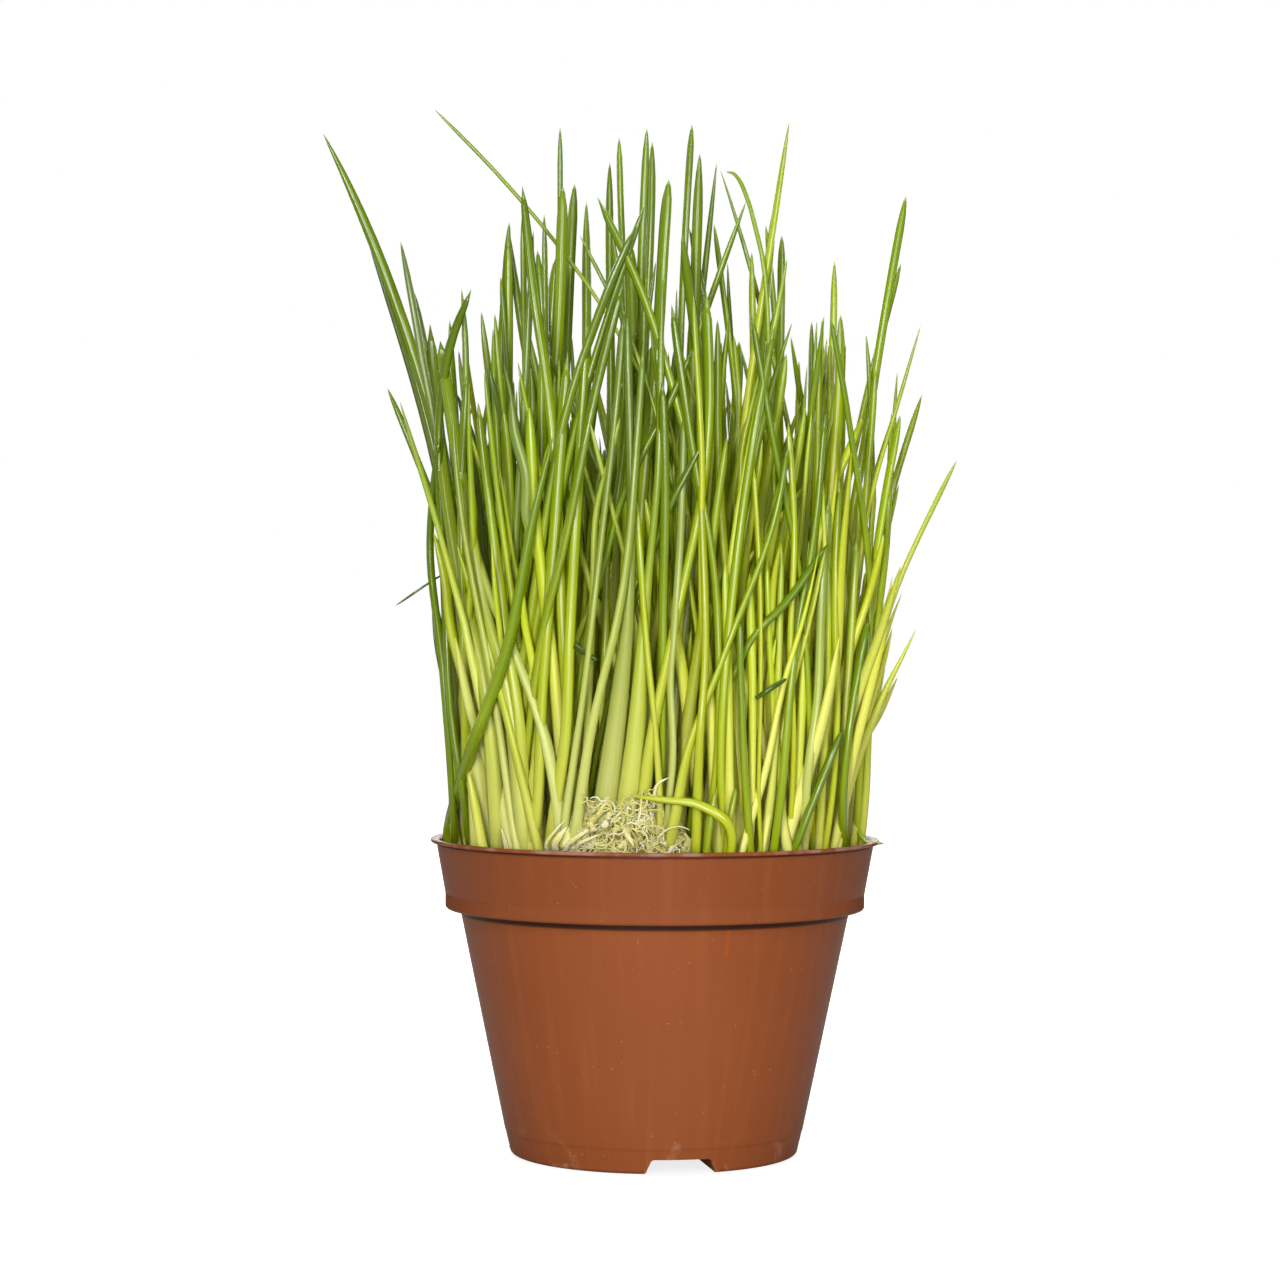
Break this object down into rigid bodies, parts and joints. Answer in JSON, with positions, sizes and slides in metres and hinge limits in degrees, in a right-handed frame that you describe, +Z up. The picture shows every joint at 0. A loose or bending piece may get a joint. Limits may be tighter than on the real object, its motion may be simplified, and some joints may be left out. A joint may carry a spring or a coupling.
{
  "type": "potted chives",
  "caption": "A dense upright bunch of chives growing in compost in a stepped terracotta-coloured plastic nursery pot with a lipped collar and drain slots.",
  "frame": {"origin": "middle of the pot's flat underside, on the surface that it stands on", "axes": "+Z up along the pot's axis, -Y towards the front, where one drain slot shows, +X to the right seen from the front"},
  "size_m": [0.1815, 0.152, 0.2992],
  "materials": {
    "pot_plastic": "satin terracotta-coloured polypropylene with fine scuffs",
    "compost": "moist crumbly peat and bark compost",
    "chive_leaf": "living leaf, pale at the foot and deep green with a soft sheen above",
    "bare_root": "pale fibrous roots with papery sheaths"
  },
  "bodies": {
    "root": {"pot": "pot_plastic", "soil": "compost", "lifted_clump": "bare_root", "tuft_01": "chive_leaf", "tuft_02": "chive_leaf", "tuft_03": "chive_leaf", "tuft_04": "chive_leaf", "tuft_05": "chive_leaf", "tuft_06": "chive_leaf", "tuft_07": "chive_leaf", "tuft_08": "chive_leaf", "tuft_09": "chive_leaf", "tuft_10": "chive_leaf", "tuft_11": "chive_leaf", "tuft_12": "chive_leaf", "tuft_13": "chive_leaf", "tuft_14": "chive_leaf", "tuft_15": "chive_leaf", "tuft_16": "chive_leaf", "tuft_17": "chive_leaf", "tuft_18": "chive_leaf", "tuft_19": "chive_leaf", "tuft_20": "chive_leaf", "tuft_21": "chive_leaf", "tuft_22": "chive_leaf", "tuft_23": "chive_leaf", "tuft_24": "chive_leaf", "tuft_25": "chive_leaf", "tuft_26": "chive_leaf", "tuft_27": "chive_leaf", "tuft_28": "chive_leaf", "tuft_29": "chive_leaf", "tuft_30": "chive_leaf", "tuft_31": "chive_leaf", "tuft_32": "chive_leaf", "tuft_33": "chive_leaf", "tuft_34": "chive_leaf"}
  },
  "joints": []
}
